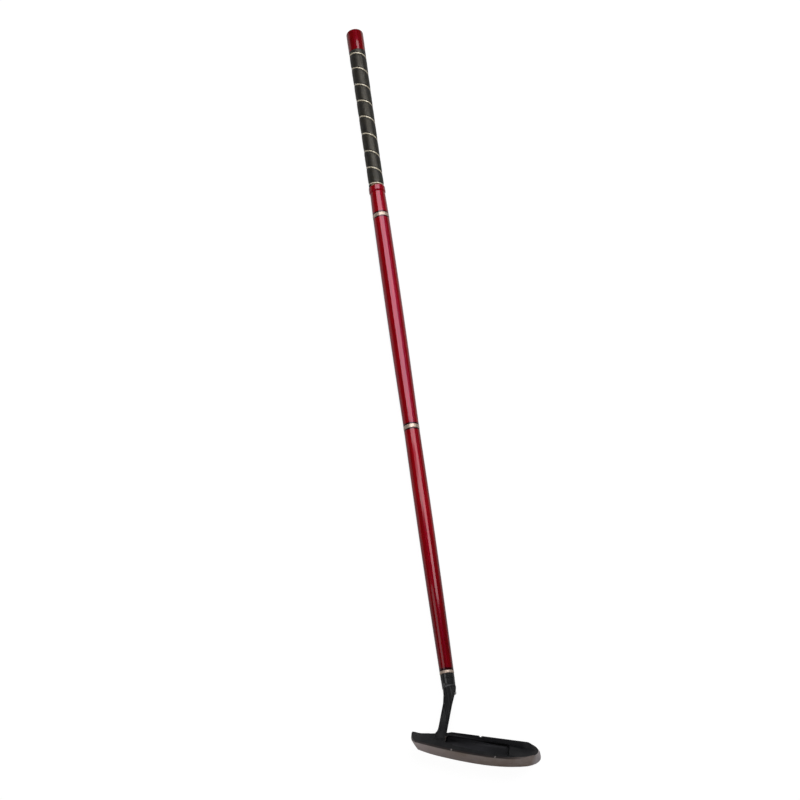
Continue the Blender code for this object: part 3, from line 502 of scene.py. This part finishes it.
def pebbled_leather(name):
    """Black grip leather: small pebbles, creases across the strip and rubbed high spots."""
    nodes = Nodes(name)
    where = nodes.place()
    pebbles = {"Vector": where, "Scale": 1500.0, "Randomness": 1.0}
    cells = nodes.node("TexVoronoi", pebbles, feature="SMOOTH_F1").outputs["Distance"]
    wrinkles = nodes.noise(nodes.place(scale=(1.0, 2.2, 1.0)), 330.0, detail=4.0, distortion=0.8)
    wear = nodes.noise(where, 70.0, detail=3.0)
    blotch = nodes.noise(nodes.place(scale=(1.0, 1.3, 1.0)), 210.0, detail=3.0)
    brown = nodes.between(wrinkles, 0.38, 0.62, BROWN_LEATHER)
    blue = nodes.between(wrinkles, 0.38, 0.62, BLUE_LEATHER)
    tone = nodes.between(blotch, 0.44, 0.60, (brown, blue))
    tone = nodes.mix(nodes.ramp(cells, 0.1, 0.7, 0.5, 0.0), tone, RUBBED_LEATHER)
    nodes.surface(
        Base_Color=tone,
        Roughness=nodes.ramp(wear, 0.3, 0.7, 0.37, 0.50),
        Specular_Tint=LEATHER_SHEEN,
        Normal=nodes.bump(wrinkles, 0.00022, 0.5, nodes.bump(cells, 0.00008, 0.6)),
    )
    return nodes.material


def gold_cord(name):
    nodes = Nodes(name)
    twist = nodes.noise(nodes.place(), 1300.0, detail=3.0)
    nodes.surface(
        Base_Color=nodes.between(twist, 0.35, 0.68, GOLD),
        Metallic=0.2,
        Roughness=nodes.ramp(twist, 0.3, 0.7, 0.18, 0.30),
        Specular_IOR_Level=1.0,
        Coat_Weight=1.0,
        Coat_Roughness=0.14,
        Normal=nodes.bump(twist, 0.00008, 0.5),
    )
    return nodes.material


def wound_paper(name):
    nodes = Nodes(name)
    fibre = nodes.noise(nodes.place(scale=(1.0, 0.4, 1.0)), 1600.0, detail=4.0)
    nodes.surface(
        Base_Color=nodes.between(fibre, 0.3, 0.7, PAPER),
        Roughness=0.85,
        Normal=nodes.bump(fibre, 0.00006, 0.5),
    )
    return nodes.material


def paint(material, *names):
    for name in names:
        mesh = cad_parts[name].data
        mesh.materials.clear()
        mesh.materials.append(material)


paint(painted_casting("painted_casting"), "head_casting")
paint(glossy_plastic("glossy_plastic"), "hosel_ferrule")
paint(turned_metal("steel", STEEL, 0.25), "lower_stud", "middle_stud", "upper_stud")
paint(turned_metal("bright_steel", BRIGHT_STEEL, 0.45, metallic=0.35), "hosel_sleeve")
paint(turned_metal("socket_brass", SOCKET_BRASS, 0.28), "middle_socket", "upper_socket")
paint(polished_ring("ring_brass"), "lower_ring", "middle_ring", "upper_ring")
paint(lacquered_wood("lower_wood", 0.0, violet=0.4, darker_below=0.26), "lower_shaft")
paint(lacquered_wood("middle_wood", 0.37), "middle_shaft")
paint(lacquered_wood("grip_wood", 0.71), "grip_shaft", "grip_collar")
paint(lacquered_wood("cap_wood", 0.53, depth=0.6, violet=0.3, coat_roughness=0.018), "butt_cap")
paint(wound_paper("wound_paper"), "grip_underlay")

# The grip's own strip and piping, wound as the CAD ones are but finer


def wrap_radius(height):
    """Nearly straight at first, then flaring to the cap."""
    share = min(max((height - WRAP_BOTTOM) / (WRAP_TOP - WRAP_BOTTOM), 0.0), 1.0)
    flare = WRAP_STRAIGHT_SHARE * share + (1.0 - WRAP_STRAIGHT_SHARE) * share ** 3
    return WRAP_LOWER_RADIUS + (WRAP_UPPER_RADIUS - WRAP_LOWER_RADIUS) * flare


def on_grip(above_underlay, turn, height):
    angle = 2 * math.pi * turn
    radius = wrap_radius(height) - STRIP_ABOVE_UNDERLAY + above_underlay
    x = SHAFT_X + radius * math.sin(angle)
    z = SHAFT_Z + radius * math.cos(angle)
    return Vector((x, UPPER_RING_Y + height, z))


def run_height(turn):
    """The piping's height at a turn, straight between the marks of PIPING_RUN."""
    if turn <= PIPING_RUN[0][0]:
        return PIPING_RUN[0][1] + (PIPING_RUN[0][0] - turn) * PITCH
    for (turn_a, height_a), (turn_b, height_b) in zip(PIPING_RUN, PIPING_RUN[1:]):
        if turn <= turn_b:
            return height_a + (height_b - height_a) * (turn - turn_a) / (turn_b - turn_a)
    return PIPING_RUN[-1][1]


def piping_height(turn):
    """The run with its corners rounded off."""
    return sum(run_height(turn + shift) for shift in RUN_SMOOTHING) / len(RUN_SMOOTHING)


def turns_between(first, last):
    """The turns of a winding's stations, both ends included."""
    count = round((last - first) * LOOP_STATIONS)
    return [first + (last - first) * i / count for i in range(count + 1)]


def finished(bm, name, material, node):
    """Turns a bmesh into a piece that stands for a CAD node and moves with the grip."""
    bmesh.ops.recalc_face_normals(bm, faces=bm.faces)
    mesh = bpy.data.meshes.new(name)
    bm.to_mesh(mesh)
    bm.free()
    mesh.shade_smooth()
    mesh.set_sharp_from_angle(angle=SHARP_ANGLE)
    mesh.materials.append(material)
    made = bpy.data.objects.new(name, mesh)
    bpy.context.scene.collection.objects.link(made)
    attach(made, "grip_section")
    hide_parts(node)
    return made


def skin(bm, rings):
    """Joins closed rings of points into a tube and closes both ends."""
    rows = [[bm.verts.new(point) for point in ring] for ring in rings]
    count = len(rows[0])
    for row, following in zip(rows, rows[1:]):
        for i in range(count):
            j = (i + 1) % count
            bm.faces.new((row[i], row[j], following[j], following[i]))
    bm.faces.new(rows[0])
    bm.faces.new(reversed(rows[-1]))


def crease(turn, height):
    """Shallow wrinkles of the stretched strip, longest along it."""
    angle = 2 * math.pi * turn
    x = CREASE_AROUND * math.sin(angle)
    y = CREASE_AROUND * math.cos(angle)
    place = Vector((x, y, height * CREASE_ALONG + turn * CREASE_SHIFT))
    return CREASE_DEPTH * noise.fractal(place, 0.9, 2.1, 3)


def strip_section(width):
    """The strip's section as marks from its upper edge to its lower one: distance in, and height."""
    scale = min(1.0, width / FULL_WIDTH)
    marks = [(distance * scale, rise) for distance, rise in ROLLED_EDGE]
    marks += [(share * width, STRIP_CROWN) for share in CROWN_SHARES]
    marks += [(width - distance * scale, rise) for distance, rise in reversed(ROLLED_EDGE)]
    return marks


def strip_point(rise, turn, height):
    """A point of the strip. Its upper side is creased, and pressed in below the cap."""
    if rise > CREASED_ABOVE:
        pressed = min(max((height - WRAP_TOP + CAP_PRESS_LENGTH) / CAP_PRESS_LENGTH, 0.0), 1.0)
        rise += crease(turn, height) - CAP_PRESS_DEPTH * pressed
    return on_grip(rise, turn, height)


def leather_strip(material):
    """One strip between the turns of the piping, cut level under the cap and to a point above the collar."""
    side = PIPING_RADIUS + PIPING_SIDE_GAP
    rings = []
    for turn in turns_between(STRIP_FIRST_TURN, STRIP_LAST_TURN):
        top = piping_height(turn) - side
        bottom = piping_height(turn + 1.0) + side
        section = strip_section(top - bottom)
        rings.append([strip_point(rise, turn, top - distance) for distance, rise in section])
    bm = bmesh.new()
    skin(bm, rings)
    cut = bmesh.ops.bisect_plane(bm, geom=[*bm.verts, *bm.edges, *bm.faces], dist=1e-7,
                                 plane_co=(0.0, UPPER_RING_Y + WRAP_TOP, 0.0), plane_no=(0.0, 1.0, 0.0),
                                 clear_outer=True)
    rim = [part for part in cut["geom_cut"] if isinstance(part, bmesh.types.BMEdge)]
    bmesh.ops.triangle_fill(bm, edges=rim, use_beauty=True)
    return finished(bm, "wound_strip", material, "grip_wrap")


def piping_cord(material):
    """The cord in the groove between the strip's turns. Its last turn lies level along the collar."""
    path = [on_grip(PIPING_RADIUS + PIPING_LIFT, turn, piping_height(turn))
            for turn in turns_between(PIPING_FIRST_TURN, PIPING_LAST_TURN)]
    last = len(path) - 1
    rings = []
    for i, point in enumerate(path):
        along = (path[min(i + 1, last)] - path[max(i - 1, 0)]).normalized()
        outward = (point - Vector((SHAFT_X, point.y, SHAFT_Z))).normalized()
        across = along.cross(outward).normalized()
        outward = across.cross(along)
        ring = []
        for k in range(PIPING_SIDES):
            angle = 2 * math.pi * k / PIPING_SIDES
            ring.append(point + PIPING_RADIUS * (math.cos(angle) * outward + math.sin(angle) * across))
        rings.append(ring)
    bm = bmesh.new()
    skin(bm, rings)
    return finished(bm, "wound_piping", material, "grip_piping")


leather_strip(pebbled_leather("pebbled_leather"))
piping_cord(gold_cord("gold_cord"))

# Floor, surround, lamps and camera


def glow_share(nodes):
    """How much of its own white the floor shows: most to the camera, some in reflections, none as light."""
    path = nodes.node("LightPath").outputs
    mirrored = nodes.larger(path["Is Glossy Ray"], path["Is Transmission Ray"])
    in_mirror = nodes.times(mirrored, FLOOR_GLOW_MIRRORED)
    return nodes.larger(nodes.times(path["Is Camera Ray"], FLOOR_GLOW_SEEN), in_mirror)


def floor():
    bpy.ops.mesh.primitive_plane_add(size=FLOOR_SIZE, location=FLOOR_MIDDLE)
    made = bpy.context.active_object
    made.name = "floor"
    nodes = Nodes("white_floor")
    nodes.surface(Base_Color=colour(*[FLOOR_ALBEDO] * 3), Roughness=FLOOR_ROUGHNESS)
    glow = nodes.node("Emission", {"Color": WHITE, "Strength": FLOOR_GLOW})
    both = nodes.node("MixShader", {0: glow_share(nodes), 1: nodes.shader.outputs[0], 2: glow.outputs[0]})
    nodes.link(both.outputs[0], nodes.output.inputs["Surface"])
    made.data.materials.append(nodes.material)


def surround():
    """White to the camera, pale near the horizon in reflections, and dark as light."""
    world = bpy.data.worlds.new("surround")
    world.use_nodes = True
    tree = world.node_tree

    def node(kind, inputs, **settings):
        made = tree.nodes.new("ShaderNode" + kind)
        for key, value in settings.items():
            setattr(made, key, value)
        for key, value in inputs.items():
            if isinstance(value, bpy.types.NodeSocket):
                tree.links.new(value, made.inputs[key])
            else:
                made.inputs[key].default_value = value
        return made.outputs

    path = node("LightPath", {})
    upward = node("SeparateXYZ", {0: node("TexCoord", {})["Generated"]})[2]
    horizon = {0: upward, 1: 0.0, 2: HORIZON_HEIGHT, 3: HORIZON_MIRRORED, 4: SURROUND_STRENGTH}
    pale = node("MapRange", horizon)[0]
    rays = {0: path["Is Glossy Ray"], 1: path["Is Transmission Ray"]}
    mirrored = node("Math", rays, operation="MAXIMUM")[0]
    unseen = node("MapRange", {0: mirrored, 3: SURROUND_STRENGTH, 4: pale})[0]
    strength = node("MapRange", {0: path["Is Camera Ray"], 3: unseen, 4: SURROUND_SEEN})[0]
    background = tree.nodes["Background"]
    background.inputs["Color"].default_value = WHITE
    tree.links.new(strength, background.inputs["Strength"])
    bpy.context.scene.world = world


def lamp(name, corners, radiance):
    """A flat lamp overhead that shines down and is seen only in reflections."""
    mesh = bpy.data.meshes.new(name)
    mesh.from_pydata([(x, y, LAMP_HEIGHT) for x, y in corners], [], [range(len(corners))])
    made = bpy.data.objects.new(name, mesh)
    bpy.context.scene.collection.objects.link(made)
    nodes = Nodes(name)
    glow = nodes.node("Emission", {"Color": WHITE, "Strength": radiance})
    nodes.link(glow.outputs[0], nodes.output.inputs["Surface"])
    mesh.materials.append(nodes.material)
    made.visible_camera = False


def camera():
    made = bpy.data.objects.new("camera", bpy.data.cameras.new("camera"))
    made.data.lens = CAMERA_LENS
    made.data.sensor_width = CAMERA_SENSOR
    made.location = CAMERA_PLACE
    made.rotation_euler = Euler([math.radians(angle) for angle in CAMERA_ANGLES])
    bpy.context.scene.collection.objects.link(made)
    bpy.context.scene.camera = made


floor()
surround()
lamp("key", KEY_CORNERS, KEY_RADIANCE)
lamp("side", SIDE_CORNERS, SIDE_RADIANCE)
lamp("fill", FILL_CORNERS, FILL_RADIANCE)
camera()
bpy.context.scene.view_settings.view_transform = "Standard"
